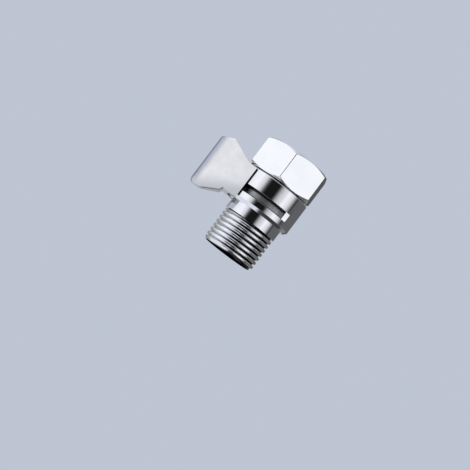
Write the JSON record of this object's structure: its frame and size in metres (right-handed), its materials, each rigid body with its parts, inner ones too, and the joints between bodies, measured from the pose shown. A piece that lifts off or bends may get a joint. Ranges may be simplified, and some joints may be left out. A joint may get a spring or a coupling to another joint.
{
  "type": "inline shower shut-off valve",
  "caption": "Straight in-line shut-off valve with a swivel hex nut, a slotted barrel, a fan-shaped thumb lever and a male pipe thread.",
  "frame": {"origin": "on the valve axis, at the face of the inlet washer, where the feed pipe's end seats", "axes": "+Z along the valve axis towards the inlet; the lever points along -X at rest and the slot runs round the -Y side"},
  "size_m": [0.0405, 0.029, 0.0439],
  "materials": {
    "chrome_body": "bright chrome plate on turned brass",
    "chrome_nut": "bright chrome plate on a milled nut",
    "chrome_lever": "chrome plate, slightly softened by casting",
    "bare_brass": "machined brass, not plated",
    "spring_steel": "ground steel",
    "stainless": "pressed stainless sheet",
    "black_rubber": "moulded rubber",
    "pale_nylon": "natural nylon",
    "white_ceramic": "lapped alumina",
    "grey_ceramic": "lapped grey ceramic",
    "satin_metal": "satin plated, finely textured"
  },
  "bodies": {
    "valve": {"valve_body": "chrome_body", "inlet_tailpiece": "bare_brass", "nut_retaining_ring": "spring_steel", "inlet_washer": "black_rubber", "filter_rim": "stainless", "filter_screen": "stainless", "tailpiece_oring": "black_rubber", "disc_seal": "black_rubber", "disc_seal_support": "pale_nylon", "fixed_disc": "white_ceramic", "thrust_washer": "pale_nylon"},
    "nut": {"swivel_nut": "chrome_nut"},
    "lever_and_rotor": {"lever": "chrome_lever", "drive_stud": "spring_steel", "lever_grub_screw": "spring_steel", "rotor": "satin_metal", "rotor_upper_oring": "black_rubber", "rotor_lower_oring": "black_rubber", "rotor_end_oring": "black_rubber", "moving_disc": "grey_ceramic"}
  },
  "joints": [
    {"name": "nut_swivel", "type": "hinge", "parent": "valve", "child": "nut", "pos_m": [0, 0, 0], "axis": [0, 0, 1], "continuous": true},
    {"name": "lever_turn", "type": "hinge", "parent": "valve", "child": "lever_and_rotor", "pos_m": [0, 0, -0.01205], "axis": [0, 0, 1], "range_deg": [0, 128]}
  ]
}
